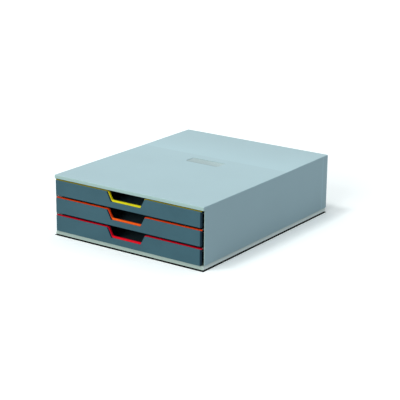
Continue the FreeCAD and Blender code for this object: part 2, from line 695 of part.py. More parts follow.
def build_strip(name, level):
    """Coloured grip strip: a cap along the front's edge and through the notch, on a thin leaf."""
    body = new_body(name, level_z(level))
    under = notch_line(FRONT_X, FRONT_HEIGHT, "notch_sill", 0)
    over = notch_line(FRONT_X, f"({FRONT_HEIGHT} + strip_rise)", "(notch_sill + strip_rise_notch)",
                      "-strip_rise")
    cap = elevation(body, f"{name}_cap", LEAF_Y)
    polygon(cap, under + over[::-1])
    pad(body, cap, "strip_depth", backwards=True)
    blend(body, f"{name}_corners", "notch_radius", notch_corner)
    top, front = number(f"{FRONT_HEIGHT} + strip_rise"), number(LEAF_Y)
    bevel(body, f"{name}_edge", "strip_bevel",
          lambda e: runs_along(e, 0) and lies_at(e, 1, front) and lies_at(e, 2, top))

    leaf = elevation(body, f"{name}_leaf", LEAF_Y)
    root = notch_line(PLATE_X, f"({FRONT_HEIGHT} + strip_root)", "(notch_sill + strip_root)",
                      "-strip_root")
    lower = notch_line(PLATE_X, f"({FRONT_HEIGHT} - strip_leg)", "(notch_sill - strip_leg)", "strip_leg")
    polygon(leaf, lower + root[::-1])
    pad(body, leaf, "strip_leaf", backwards=True)
    return body


# ---------------------------------------------------------------- build, check and write

bodies = [build_cover(), build_back_panel(), build_base_pan(), build_name_plate()]
bodies += [build_foot(name, centre) for name, centre in foot_places()]
for level, floor in enumerate(LEVELS):
    bodies += [build_rail(f"rail_{floor}_{side}", level, sign) for side, sign in SIDES]
    bodies += [build_tray(f"tray_{floor}", level), build_front(f"front_{floor}", level),
               build_strip(f"strip_{floor}", level)]
doc.recompute()

for thing in doc.Objects:
    if "Invalid" in thing.State or "Error" in thing.State:
        raise RuntimeError(f"{thing.Name} failed: {thing.State}")
for body in bodies:
    if body.Shape.isNull() or not body.Shape.isValid() or len(body.Shape.Solids) != 1:
        raise RuntimeError(f"{body.Label} isn't one valid solid")

os.makedirs("parts", exist_ok=True)
for body in bodies:
    body.Shape.exportStep(f"parts/{body.Label}.step")
    box = body.Shape.BoundBox
    corners = (box.XMin, box.YMin, box.ZMin, box.XMax, box.YMax, box.ZMax)
    print(f"{body.Label:24s}", " ".join(f"{value:8.2f}" for value in corners))
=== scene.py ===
import math

import bpy
import numpy as np
from mathutils import Matrix, Vector


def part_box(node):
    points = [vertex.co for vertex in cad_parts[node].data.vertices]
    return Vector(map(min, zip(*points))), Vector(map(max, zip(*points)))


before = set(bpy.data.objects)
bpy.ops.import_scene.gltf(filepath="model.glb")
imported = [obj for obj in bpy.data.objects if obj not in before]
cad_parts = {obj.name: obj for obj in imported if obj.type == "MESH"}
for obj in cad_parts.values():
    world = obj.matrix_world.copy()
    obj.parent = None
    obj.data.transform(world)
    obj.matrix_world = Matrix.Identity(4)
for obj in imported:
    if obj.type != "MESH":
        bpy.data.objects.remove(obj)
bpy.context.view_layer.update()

bl_info = {
    "name": "Desktop File Drawer",
    "version": (1, 0, 0),
    "blender": (4, 5, 0),
    "location": "View3D > Sidebar > File Drawer",
    "description": "Finishes a moulded three-drawer desktop box and sets it on a pale studio floor",
    "category": "Object",
}

LEVELS = ("bottom", "middle", "top")

# Lengths on the part, in metres
CREASE_TO_REAR = 0.125
CREASE_WIDTH = 0.002
# Width of the painted highlight along the seam
SEAM_WIDTH = 0.0025
SKIRT_HEIGHT = 0.0057
# Width and inset of the painted shadow line in front of the plate
PLATE_LINE_WIDTH = 0.0028
PLATE_LINE_INSET = 0.002
NOTCH_DEPTH = 0.0125
EDGE_SHADE_BELOW = (0.0008, 0.0003)
LIP_REACH = 0.012

# Shares of a length: where the painted light on the skirt is strongest, where the painted highlight on the
# plate starts, and how far below the edge of a strip its flanks reach their full colour
SKIRT_PALE_SHARE = 0.4
PLATE_EVEN_SHARE = 0.4
FLANK_SHARE = 0.7

# Cosines between which a tone sets in as a face turns towards an axis
SLIGHTLY = (0.15, 0.4)
MOSTLY = (0.5, 0.8)
SQUARELY = (0.7, 0.95)
UPWARD = (0.5, 0.95)

# How the mould texture, the faint clouds and the dust are made from noise
PIT_FREQUENCY = 0.45
PIT_HEIGHT = 0.35
GRAIN_HEIGHTS = (0.3, 0.9)
CLOUD_NOISE = (0.3, 0.7)
SPECK_NOISE = (0.35, 0.75)
THINNEST_DUST = 0.3
DUST_COLOUR = (0.72, 0.71, 0.68, 1.0)
DUST_ROUGHNESS = 0.9

# Moulded plastic
PLASTIC_IOR = 1.46
GLOSS_SWING = 0.06
HOUSING_TINT, HOUSING_CLOUD_SIZE = 0.975, 0.09
# How much painted light the sides of the skirt have at the top of the skirt
SKIRT_TOP_PAINTED_LIGHT = 0.4
# Painted shade at the front of the name plate and painted light at its rear
PLATE_FRONT_PAINTED_SHADE, PLATE_REAR_PAINTED_LIGHT = 0.93, 1.08

# Shares of open sky between which the painted shade of the lip on the top strip fades out
COVERED_SKY, OPEN_SKY = 0.70, 0.92
SKY_SAMPLES = 12

# Studio
FLOOR_CELLS = 8
LAMP_DISTANCE = 2.0
SENSOR_WIDTH = 36.0
BLACK, WHITE = (0.0, 0.0, 0.0, 1.0), (1.0, 1.0, 1.0, 1.0)


# ---------------------------------------------------------------- sizes and colours


class HousingFinish(bpy.types.PropertyGroup):
    """Colours of the cover, back panel, base pan, name plate and feet, with painted light and shade on some
    faces, and the grain of all the plastic.
    """

    shell_colour: bpy.props.FloatVectorProperty(
        name="Shell", description="Moulded cover and back panel", subtype="COLOR",
        size=3, min=0, max=1, default=(0.415, 0.590, 0.635))
    # Painted shade: the walls and the front edges have darker tones of the shell colour for the light that
    # falls on them
    wall_painted_shade_colour: bpy.props.FloatVectorProperty(
        name="Walls", description="Left and right walls of the cover", subtype="COLOR",
        size=3, min=0, max=1, default=(0.374, 0.545, 0.613))
    front_edges_painted_shade_colour: bpy.props.FloatVectorProperty(
        name="Front edges", description="Front edges of the cover", subtype="COLOR",
        size=3, min=0, max=1, default=(0.355, 0.510, 0.485))
    # Painted highlight in an upright line near the rear edge of each wall
    seam_painted_highlight: bpy.props.FloatProperty(
        name="Seam", description="How much paler the walls are along the seam near their rear edge",
        min=0.5, max=1.5, default=1.10)
    seam_to_rear: bpy.props.FloatProperty(
        name="Seam place", description="From that seam to the rear edge", subtype="DISTANCE", unit="LENGTH",
        min=0.002, max=0.05, precision=4, default=0.0145)
    # Painted light just behind the crease in the top, fading to painted shade at the rear edge
    crease_painted_light: bpy.props.FloatProperty(
        name="Crease", description="How much paler the top is just behind the crease",
        min=0.5, max=1.5, default=1.06)
    rear_painted_shade: bpy.props.FloatProperty(
        name="Rear edge", description="How pale the top is at its rear edge",
        min=0.5, max=1.5, default=0.94)
    base_colour: bpy.props.FloatVectorProperty(
        name="Base", description="Base pan with its skirt", subtype="COLOR",
        size=3, min=0, max=1, default=(0.385, 0.495, 0.445))
    # Painted light on the left and right sides of the skirt towards their lower edge
    skirt_painted_light_colour: bpy.props.FloatVectorProperty(
        name="Skirt sides", description="Left and right sides of the skirt at their lower edge",
        subtype="COLOR", size=3, min=0, max=1, default=(0.75, 0.87, 0.87))
    plate_colour: bpy.props.FloatVectorProperty(
        name="Name plate", description="Bare plate in the top", subtype="COLOR",
        size=3, min=0, max=1, default=(0.325, 0.460, 0.470))
    # Painted highlight at the right end of the name plate
    plate_end_painted_highlight: bpy.props.FloatProperty(
        name="Name plate end", description="How much paler the plate is at its right end",
        min=0.5, max=1.5, default=1.14)
    # Painted shadow along the front edge of the plate's pocket
    plate_pocket_painted_shadow: bpy.props.FloatProperty(
        name="Plate pocket line", description="How pale the front edge of the plate's pocket is",
        min=0.5, max=1.5, default=0.72)
    rubber_colour: bpy.props.FloatVectorProperty(
        name="Feet", description="Rubber feet", subtype="COLOR",
        size=3, min=0, max=1, default=(0.03, 0.03, 0.032))
    grain_size: bpy.props.FloatProperty(
        name="Grain size", description="Width of one grain of the moulded texture", subtype="DISTANCE",
        unit="LENGTH", min=0.0001, max=0.003, precision=5, default=0.0005)
    grain_depth: bpy.props.FloatProperty(
        name="Grain depth", description="Depth of the moulded texture", subtype="DISTANCE",
        unit="LENGTH", min=0, max=0.0005, precision=6, default=0.00002)


class DrawerFinish(bpy.types.PropertyGroup):
    """Colours of the drawer fronts, their grip strips, the trays and the rails."""

    front_colour: bpy.props.FloatVectorProperty(
        name="Front", description="Charcoal drawer fronts", subtype="COLOR",
        size=3, min=0, max=1, default=(0.0500, 0.119, 0.149))
    # Painted shade on the ends of the fronts and the flanks of their notches
    front_end_painted_shade_colour: bpy.props.FloatVectorProperty(
        name="Front ends", description="Ends of the fronts and flanks of their notches", subtype="COLOR",
        size=3, min=0, max=1, default=(0.010, 0.030, 0.050))
    tray_colour: bpy.props.FloatVectorProperty(
        name="Tray", description="Trays behind the fronts", subtype="COLOR",
        size=3, min=0, max=1, default=(0.032, 0.064, 0.078))
    rail_colour: bpy.props.FloatVectorProperty(
        name="Rail", description="Rails inside the housing", subtype="COLOR",
        size=3, min=0, max=1, default=(0.30, 0.34, 0.35))
    strip_colour_top: bpy.props.FloatVectorProperty(
        name="Top strip", description="Grip strip of the top drawer", subtype="COLOR",
        size=3, min=0, max=1, default=(0.80, 0.72, 0.012))
    strip_colour_middle: bpy.props.FloatVectorProperty(
        name="Middle strip", description="Grip strip of the middle drawer", subtype="COLOR",
        size=3, min=0, max=1, default=(1.0, 0.12, 0.010))
    strip_colour_bottom: bpy.props.FloatVectorProperty(
        name="Bottom strip", description="Grip strip of the bottom drawer", subtype="COLOR",
        size=3, min=0, max=1, default=(0.82, 0.004, 0.018))
    edge_colour_top: bpy.props.FloatVectorProperty(
        name="Top edge", description="Edge of the top strip beside its notch", subtype="COLOR",
        size=3, min=0, max=1, default=(0.84, 0.70, 0.004))
    edge_colour_middle: bpy.props.FloatVectorProperty(
        name="Middle edge", description="Edge of the middle strip beside its notch", subtype="COLOR",
        size=3, min=0, max=1, default=(1.0, 0.065, 0.003))
    edge_colour_bottom: bpy.props.FloatVectorProperty(
        name="Bottom edge", description="Edge of the bottom strip beside its notch", subtype="COLOR",
        size=3, min=0, max=1, default=(0.78, 0.001, 0.018))
    # Painted shade of the lip on the edge of the top strip
    strip_edge_painted_shade: bpy.props.FloatProperty(
        name="Top strip edge", description="How pale the edge of the top strip is under the lip",
        min=0, max=1, default=0.3)


class StudioSettings(bpy.types.PropertyGroup):
    """Floor, light and camera."""

    floor_colour: bpy.props.FloatVectorProperty(
        name="Floor", description="Pale floor", subtype="COLOR",
        size=3, min=0, max=1, default=(0.630, 0.655, 0.652))
    floor_size: bpy.props.FloatProperty(
        name="Floor size", description="Side of the floor", subtype="DISTANCE", unit="LENGTH",
        min=1, max=100, default=24.0)
    floor_lift: bpy.props.FloatProperty(
        name="Floor lift", description="How much paler the floor looks to the camera",
        min=1, max=6, default=1.80)
    # Painted shadow on the floor under the skirt, and how far it reaches out
    gap_painted_shadow: bpy.props.FloatProperty(
        name="Gap shade", description="How dark the floor looks under the skirt, 1 for black",
        min=0, max=1, default=0.99)
    gap_reach: bpy.props.FloatProperty(
        name="Gap reach", description="How far that shade reaches out from under the skirt",
        subtype="DISTANCE", unit="LENGTH", min=0, max=0.01, precision=5, default=0.0011)
    key_strength: bpy.props.FloatProperty(
        name="Key light", description="Strength of the soft key light", min=0, max=20, default=0.75)
    key_azimuth: bpy.props.FloatProperty(
        name="Key azimuth", description="Where the key light comes from, turned left of the front",
        subtype="ANGLE", unit="ROTATION", default=math.radians(35))
    key_elevation: bpy.props.FloatProperty(
        name="Key elevation", description="Height of the key light above the horizon",
        subtype="ANGLE", unit="ROTATION", default=math.radians(64))
    key_softness: bpy.props.FloatProperty(
        name="Key softness", description="Angle that the key light fills", subtype="ANGLE",
        unit="ROTATION", default=math.radians(14))
    top_strength: bpy.props.FloatProperty(
        name="Top light", description="Strength of the broad light from above", min=0, max=20, default=1.2)
    top_softness: bpy.props.FloatProperty(
        name="Top softness", description="Angle that the top light fills", subtype="ANGLE",
        unit="ROTATION", default=math.radians(90))
    fill_strength: bpy.props.FloatProperty(
        name="Fill light", description="Strength of the low light on the fronts",
        min=0, max=20, default=1.68)
    fill_azimuth: bpy.props.FloatProperty(
        name="Fill azimuth", description="Where the fill light comes from, turned left of the front",
        subtype="ANGLE", unit="ROTATION", default=math.radians(4))
    fill_elevation: bpy.props.FloatProperty(
        name="Fill elevation", description="Height of the fill light above the horizon",
        subtype="ANGLE", unit="ROTATION", default=math.radians(20))
    fill_softness: bpy.props.FloatProperty(
        name="Fill softness", description="Angle that the fill light fills", subtype="ANGLE",
        unit="ROTATION", default=math.radians(40))
    sky_strength: bpy.props.FloatProperty(
        name="Surround", description="Strength of the light from all round", min=0, max=4, default=0.205)
    sky_colour: bpy.props.FloatVectorProperty(
        name="Surround colour", description="Tint of the light from all round", subtype="COLOR",
        size=3, min=0, max=1, default=(0.88, 0.95, 1.0))
    camera_target: bpy.props.FloatVectorProperty(
        name="Target", description="Point at the middle of the picture", subtype="XYZ", unit="LENGTH",
        size=3, precision=4, default=(0.0128, -0.0029, 0.0419))
    camera_azimuth: bpy.props.FloatProperty(
        name="Azimuth", description="Where the camera stands, turned right of the front",
        subtype="ANGLE", unit="ROTATION", default=math.radians(34.847))
    camera_elevation: bpy.props.FloatProperty(
        name="Elevation", description="Height of the camera above the horizon", subtype="ANGLE",
        unit="ROTATION", default=math.radians(17.242))
    camera_roll: bpy.props.FloatProperty(
        name="Roll", description="How far the camera leans to its left", subtype="ANGLE",
        unit="ROTATION", default=math.radians(0.607))
    camera_distance: bpy.props.FloatProperty(
        name="Distance", description="From the camera to the target", subtype="DISTANCE",
        unit="LENGTH", min=0.1, max=20, default=2.0821)
    lens: bpy.props.FloatProperty(
        name="Lens", description="Focal length in millimetres on a 36 mm wide sensor",
        min=10, max=400, default=118.006)


# ---------------------------------------------------------------- node helpers


def node(tree, kind, **settings):
    """A new node with some of its own settings."""
    made = tree.nodes.new(kind)
    for name, value in settings.items():
        setattr(made, name, value)
    return made


def feed(tree, socket, value):
    """Links a socket to an input, or sets the input to a number or a colour."""
    if isinstance(value, bpy.types.NodeSocket):
        tree.links.new(value, socket)
    else:
        socket.default_value = value


def math_node(tree, operation, *values):
    """A math node whose inputs are numbers or sockets; gives its output."""
    made = node(tree, "ShaderNodeMath", operation=operation)
    for socket, value in zip(made.inputs, values):
        feed(tree, socket, value)
    return made.outputs[0]


def product(tree, first, *others):
    """Numbers or sockets multiplied together."""
    for other in others:
        first = math_node(tree, "MULTIPLY", first, other)
    return first


def near(tree, value, middle, reach):
    """1 where a value is no further than reach from the middle, else 0."""
    return math_node(tree, "COMPARE", value, middle, reach)


def mix_colour(tree, factor, first, second):
    """A colour mix whose inputs are values or sockets; gives its output."""
    made = node(tree, "ShaderNodeMix", data_type="RGBA")
    factor_socket, first_socket, second_socket = made.inputs[0], made.inputs[6], made.inputs[7]
    feed(tree, factor_socket, factor)
    feed(tree, first_socket, first)
    feed(tree, second_socket, second)
    return made.outputs[2]


def remap(tree, value, low, high, new_low=0.0, new_high=1.0, smooth=False):
    """Maps a value from one range to another, held at the ends."""
    made = node(tree, "ShaderNodeMapRange", clamp=True)
    if smooth:
        made.interpolation_type = "SMOOTHSTEP"
    for socket, number in zip(made.inputs, (value, low, high, new_low, new_high)):
        feed(tree, socket, number)
    return made.outputs[0]


def axis_of(tree, kind, output, axis):
    """One part of a vector that a node puts out."""
    parts = node(tree, "ShaderNodeSeparateXYZ")
    tree.links.new(node(tree, kind).outputs[output], parts.inputs[0])
    return parts.outputs[axis]


def place_along(tree, axis):
    """How far a point of a piece lies along an axis, such as its height for Z."""
    return axis_of(tree, "ShaderNodeTexCoord", "Object", axis)


def facing(tree, axis, turn, either_way=False, backwards=False, smooth=False):
    """1 on faces that look along an axis, 0 on those turned away; it rises between the cosines of turn."""
    turned = axis_of(tree, "ShaderNodeNewGeometry", "True Normal", axis)
    if either_way:
        turned = math_node(tree, "ABSOLUTE", turned)
    if backwards:
        turned = math_node(tree, "MULTIPLY", turned, -1.0)
    return remap(tree, turned, *turn, smooth=smooth)


def scaled(tree, colour, factor):
    """A colour socket made lighter or darker by a value socket."""
    made = node(tree, "ShaderNodeVectorMath", operation="SCALE")
    tree.links.new(colour, made.inputs[0])
    tree.links.new(factor, made.inputs["Scale"])
    return made.outputs[0]


def shade_where(tree, mask, shade):
    """A factor for scaled(): 1 where the mask is 0, and the shade where the mask is 1."""
    return math_node(tree, "MULTIPLY_ADD", mask, math_node(tree, "SUBTRACT", shade, 1.0), 1.0)


def new_group(name, inputs, outputs):
    """A shader node group with named sockets: (tree, its input node, its output node)."""
    tree = bpy.data.node_groups.new(name, "ShaderNodeTree")
    for label, kind, default in inputs:
        socket = tree.interface.new_socket(label, in_out="INPUT", socket_type=kind)
        socket.default_value = default
    for label, kind in outputs:
        tree.interface.new_socket(label, in_out="OUTPUT", socket_type=kind)
    return tree, tree.nodes.new("NodeGroupInput"), tree.nodes.new("NodeGroupOutput")


def place_group(tree, group, **values):
    """Puts a group in a material; a value is a number, a colour or a socket."""
    made = node(tree, "ShaderNodeGroup", node_tree=group)
    for name, value in values.items():
        feed(tree, made.inputs[name.replace("_", " ")], value)
    return made


def opaque(colour):
    """A colour with its alpha, 1, added."""
    return (*colour, 1.0)


def tinted(colour, factor):
    """A colour made lighter or darker by a number."""
    return opaque(min(channel * factor, 1.0) for channel in colour)


# ---------------------------------------------------------------- shared effects


def grain_group():
    """Spark-eroded mould texture: fine noise and broader rounded pits added up, as a height."""
    name = "moulded_grain"
    if name in bpy.data.node_groups:
        return bpy.data.node_groups[name]
    tree, given, out = new_group(
        name, [("Grain Size", "NodeSocketFloat", 0.0005)], [("Height", "NodeSocketFloat")])
    place = node(tree, "ShaderNodeTexCoord")
    frequency = math_node(tree, "DIVIDE", 1.0, given.outputs["Grain Size"])
    fine = node(tree, "ShaderNodeTexNoise")
    fine.inputs["Detail"].default_value = 2.0
    fine.inputs["Roughness"].default_value = 0.6
    broad = node(tree, "ShaderNodeTexVoronoi", feature="SMOOTH_F1")
    tree.links.new(place.outputs["Object"], fine.inputs["Vector"])
    tree.links.new(place.outputs["Object"], broad.inputs["Vector"])
    tree.links.new(frequency, fine.inputs["Scale"])
    tree.links.new(math_node(tree, "MULTIPLY", frequency, PIT_FREQUENCY), broad.inputs["Scale"])
    pits = math_node(tree, "MULTIPLY", broad.outputs["Distance"], PIT_HEIGHT)
    tree.links.new(math_node(tree, "ADD", pits, fine.outputs["Fac"]), out.inputs["Height"])
    return tree


def drift_group():
    """Faint clouds in the colour of a moulding, where the melt cooled at different times."""
    name = "colour_drift"
    if name in bpy.data.node_groups:
        return bpy.data.node_groups[name]
    grey = opaque((0.5, 0.5, 0.5))
    tree, given, out = new_group(
        name,
        [("Colour", "NodeSocketColor", grey), ("Drift Colour", "NodeSocketColor", grey),
         ("Patch Size", "NodeSocketFloat", 0.08)],
        [("Colour", "NodeSocketColor")])
    place = node(tree, "ShaderNodeTexCoord")
    clouds = node(tree, "ShaderNodeTexNoise")
    clouds.inputs["Detail"].default_value = 3.0
    clouds.inputs["Roughness"].default_value = 0.45
    tree.links.new(place.outputs["Object"], clouds.inputs["Vector"])
    tree.links.new(math_node(tree, "DIVIDE", 1.0, given.outputs["Patch Size"]), clouds.inputs["Scale"])
    mask = remap(tree, clouds.outputs["Fac"], *CLOUD_NOISE, smooth=True)
    drifted = mix_colour(tree, mask, given.outputs["Colour"], given.outputs["Drift Colour"])
    tree.links.new(drifted, out.inputs["Colour"])
    return tree


def dust_group():
    """A thin film of dust on faces that look up, broken up by noise: a mask from 0 to the amount."""
    name = "settled_dust"
    if name in bpy.data.node_groups:
        return bpy.data.node_groups[name]
    tree, given, out = new_group(
        name, [("Amount", "NodeSocketFloat", 0.1), ("Speck Size", "NodeSocketFloat", 0.002)],
        [("Mask", "NodeSocketFloat")])
    place = node(tree, "ShaderNodeTexCoord")
    specks = node(tree, "ShaderNodeTexNoise")
    specks.inputs["Detail"].default_value = 4.0
    tree.links.new(place.outputs["Object"], specks.inputs["Vector"])
    tree.links.new(math_node(tree, "DIVIDE", 1.0, given.outputs["Speck Size"]), specks.inputs["Scale"])
    broken = remap(tree, specks.outputs["Fac"], *SPECK_NOISE, new_low=THINNEST_DUST)
    topside = facing(tree, "Z", UPWARD, smooth=True)
    tree.links.new(product(tree, topside, broken, given.outputs["Amount"]), out.inputs["Mask"])
    return tree


def plastic(name, colour_of, mould, roughness, shine=0.3, dust=0.0, coarser=1.0, deeper=1.0):
    """Moulded plastic: a colour from colour_of(tree), a grained surface, and gloss that follows the grain.

    The grain has the size and depth of the mould settings times coarser and deeper.
    """
    material = bpy.data.materials.new(name)
    material.use_nodes = True
    tree = material.node_tree
    shader = tree.nodes["Principled BSDF"]
    shader.inputs["IOR"].default_value = PLASTIC_IOR
    shader.inputs["Specular IOR Level"].default_value = shine
    grain = place_group(tree, grain_group(), Grain_Size=mould.grain_size * coarser)
    bump = node(tree, "ShaderNodeBump")
    bump.inputs["Strength"].default_value = 1.0
    bump.inputs["Distance"].default_value = mould.grain_depth * deeper
    tree.links.new(grain.outputs["Height"], bump.inputs["Height"])
    tree.links.new(bump.outputs["Normal"], shader.inputs["Normal"])
    colour = colour_of(tree)
    rough = remap(tree, grain.outputs["Height"], *GRAIN_HEIGHTS, roughness - GLOSS_SWING,
                  roughness + GLOSS_SWING)
    if dust > 0:
        film = place_group(tree, dust_group(), Amount=dust).outputs["Mask"]
        colour = mix_colour(tree, film, colour, DUST_COLOUR)
        rough = math_node(tree, "MAXIMUM", rough, math_node(tree, "MULTIPLY", film, DUST_ROUGHNESS))
    tree.links.new(colour, shader.inputs["Base Color"])
    tree.links.new(rough, shader.inputs["Roughness"])
    return material


def drifting(colour, tint, patch_size):
    """A colour function for plastic(): a colour with faint clouds, made lighter or darker by the tint."""
    def colour_of(tree):
        made = place_group(tree, drift_group(), Colour=opaque(colour), Drift_Colour=tinted(colour, tint),
                           Patch_Size=patch_size)
        return made.outputs["Colour"]
    return colour_of


def finish(material, *names):
    """Gives a material to CAD nodes."""
    for name in names:
        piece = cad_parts[name]
        piece.data.materials.clear()
        piece.data.materials.append(material)


def nodes_named(start):
    """The names of all CAD nodes that begin in one way."""
    return [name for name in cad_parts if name.startswith(start)]


# ---------------------------------------------------------------- housing and base


class FILEDRAWER_OT_housing(bpy.types.Operator):
    """Light grey satin plastic on the cover and the back panel"""

    bl_idname = "file_drawer.housing"
    bl_label = "Housing"

    def execute(self, context):
        look = context.scene.file_drawer_housing

        def colour_of(tree):
            """The tones, times the painted light and shade behind the crease, the painted shadow in front
            of the plate and the painted highlight along the seam.
            """
            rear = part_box("housing_cover")[1].y
            return scaled(tree, self.tones(tree, look), product(
                tree, self.crease_painted_light(tree, look, rear), self.plate_pocket_painted_shadow(tree, look),
                self.seam_painted_highlight(tree, look, rear)))

        material = plastic("housing_plastic", colour_of, look, roughness=0.46, shine=0.15, dust=0.04)
        finish(material, "housing_cover", "back_panel")
        return {"FINISHED"}

    def tones(self, tree, look):
        """Faint clouds on the top and the walls, in a tone each, and a plain tone on the front edges; the
        tones of the walls and the front edges are painted shade.
        """
        top = drifting(look.shell_colour, HOUSING_TINT, HOUSING_CLOUD_SIZE)(tree)
        walls = drifting(look.wall_painted_shade_colour, HOUSING_TINT, HOUSING_CLOUD_SIZE)(tree)
        tone = mix_colour(tree, facing(tree, "X", MOSTLY, either_way=True), top, walls)
        return mix_colour(tree, facing(tree, "Y", MOSTLY, backwards=True), tone, opaque(look.front_edges_painted_shade_colour))

    def crease_painted_light(self, tree, look, rear):
        """Painted light just behind the crease in the top, then painted shade darker towards the rear edge.
        """
        along = place_along(tree, "Y")
        crease = rear - CREASE_TO_REAR
        behind = remap(tree, along, crease, rear, look.crease_painted_light, look.rear_painted_shade)
        risen = remap(tree, along, crease - CREASE_WIDTH, crease)
        return shade_where(tree, product(tree, risen, facing(tree, "Z", SQUARELY)), behind)

    def plate_pocket_painted_shadow(self, tree, look):
        """Painted shadow: darker in a line along the front edge of the plate's pocket."""
        low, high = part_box("name_plate")
        across = near(tree, place_along(tree, "X"), (low.x + high.x) / 2,
                      (high.x - low.x) / 2 - PLATE_LINE_INSET)
        before = near(tree, place_along(tree, "Y"), low.y - PLATE_LINE_WIDTH / 2, PLATE_LINE_WIDTH / 2)
        lined = product(tree, across, before, facing(tree, "Z", SQUARELY))
        return shade_where(tree, lined, look.plate_pocket_painted_shadow)

    def seam_painted_highlight(self, tree, look, rear):
        """Painted highlight: paler in an upright line on each wall, near the rear edge."""
        seam = near(tree, place_along(tree, "Y"), rear - look.seam_to_rear, SEAM_WIDTH / 2)
        return shade_where(tree, product(tree, seam, facing(tree, "X", SQUARELY, either_way=True)),
                           look.seam_painted_highlight)


class FILEDRAWER_OT_base(bpy.types.Operator):
    """Warmer light grey plastic on the base pan, and black rubber on the feet"""

    bl_idname = "file_drawer.base"
    bl_label = "Base and feet"

    def execute(self, context):
        look = context.scene.file_drawer_housing

        def colour_of(tree):
            """Faint clouds; painted light makes the left and right sides of the skirt paler towards their
            lower edge.
            """
            cloudy = drifting(look.base_colour, tint=0.96, patch_size=0.06)(tree)
            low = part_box("base_pan")[0].z
            lower = remap(tree, place_along(tree, "Z"), low + SKIRT_HEIGHT,
                          low + SKIRT_HEIGHT * SKIRT_PALE_SHARE, new_low=SKIRT_TOP_PAINTED_LIGHT)
            pale = product(tree, lower, facing(tree, "X", SQUARELY, either_way=True))
            return mix_colour(tree, pale, cloudy, opaque(look.skirt_painted_light_colour))

        pan = plastic("base_plastic", colour_of, look, roughness=0.4, shine=0.5)
        finish(pan, "base_pan")
        rubber = plastic("foot_rubber", drifting(look.rubber_colour, tint=1.5, patch_size=0.004), look,
                         roughness=0.8, coarser=0.6, deeper=2)
        finish(rubber, *nodes_named("foot_"))
        return {"FINISHED"}


class FILEDRAWER_OT_name_plate(bpy.types.Operator):
    """Smooth bare plate in the top"""

    bl_idname = "file_drawer.name_plate"
    bl_label = "Name plate"

    def execute(self, context):
        look = context.scene.file_drawer_housing

        def colour_of(tree):
            """Faint clouds; a painted highlight makes the plate palest at its right end, and painted shade
            makes it darkest along its front edge.
            """
            cloudy = drifting(look.plate_colour, tint=0.97, patch_size=0.02)(tree)
            low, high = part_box("name_plate")
            end = remap(tree, place_along(tree, "X"), low.x + PLATE_EVEN_SHARE * (high.x - low.x), high.x,
                        1.0, look.plate_end_painted_highlight)
            front = remap(tree, place_along(tree, "Y"), low.y, high.y, PLATE_FRONT_PAINTED_SHADE, PLATE_REAR_PAINTED_LIGHT)
            return scaled(tree, cloudy, product(tree, end, front))

        plate = plastic("name_plate_plastic", colour_of, look, roughness=0.3, deeper=0.3)
        finish(plate, "name_plate")
        return {"FINISHED"}


# ---------------------------------------------------------------- drawers


class FILEDRAWER_OT_fronts(bpy.types.Operator):
    """Charcoal satin plastic on the drawer fronts"""

    bl_idname = "file_drawer.fronts"
    bl_label = "Drawer fronts"

    def execute(self, context):
        look = context.scene.file_drawer_drawers

        def colour_of(tree):
            """Faint clouds; painted shade makes the ends and the flanks of the notch darker."""
            cloudy = drifting(look.front_colour, tint=0.9, patch_size=0.05)(tree)
            sideways = facing(tree, "X", SLIGHTLY, either_way=True)
            return mix_colour(tree, sideways, cloudy, opaque(look.front_end_painted_shade_colour))

        material = plastic("front_plastic", colour_of, context.scene.file_drawer_housing, roughness=0.45,
                           shine=0.12)
        finish(material, *nodes_named("front_"))
        return {"FINISHED"}


class FILEDRAWER_OT_strips(bpy.types.Operator):
    """Coloured satin plastic on the grip strips"""

    bl_idname = "file_drawer.strips"
    bl_label = "Grip strips"

    def execute(self, context):
        look = context.scene.file_drawer_drawers
        for level in LEVELS:
            material = plastic(
                f"strip_plastic_{level}", self.colour_on(look, level), context.scene.file_drawer_housing,
                roughness=0.4, shine=0.08, coarser=0.7, deeper=0.5)
            finish(material, f"strip_{level}")
        return {"FINISHED"}

    def colour_on(self, look, level):
        """A colour function for the strip of one drawer: faint clouds, with the edge deeper in colour."""
        colour, edge_colour = (getattr(look, f"{part}_colour_{level}") for part in ("strip", "edge"))
        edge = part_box(f"front_{level}")[1].z

        def colour_of(tree):
            cloudy = drifting(colour, tint=0.94, patch_size=0.03)(tree)
            height = place_along(tree, "Z")
            upper = remap(tree, height, edge - NOTCH_DEPTH, edge - NOTCH_DEPTH * FLANK_SHARE)
            deep = mix_colour(tree, upper, cloudy, opaque(edge_colour))
            if level != "top":
                return deep
            return scaled(tree, deep, self.strip_lip_painted_shade(tree, look, height, edge))
        return colour_of

    def strip_lip_painted_shade(self, tree, look, height, edge):
        """Painted deep shade above the drawer front, only where the lip of the housing covers the strip."""
        start, full = EDGE_SHADE_BELOW
        above = remap(tree, height, edge - start, edge - full, 0.0, look.strip_edge_painted_shade - 1.0)
        open_sky = node(tree, "ShaderNodeAmbientOcclusion", samples=SKY_SAMPLES)
        open_sky.inputs["Distance"].default_value = LIP_REACH
        covered = remap(tree, open_sky.outputs["AO"], COVERED_SKY, OPEN_SKY, 1.0, 0.0)
        return math_node(tree, "MULTIPLY_ADD", above, covered, 1.0)


class FILEDRAWER_OT_trays(bpy.types.Operator):
    """Dark plastic on the trays, with dust on their floors"""

    bl_idname = "file_drawer.trays"
    bl_label = "Trays"

    def execute(self, context):
        look = context.scene.file_drawer_drawers
        material = plastic(
            "tray_plastic", drifting(look.tray_colour, tint=0.85, patch_size=0.07),
            context.scene.file_drawer_housing, roughness=0.5, shine=0.15, dust=0.02,
            coarser=1.4, deeper=1.5)
        finish(material, *nodes_named("tray_"))
        return {"FINISHED"}


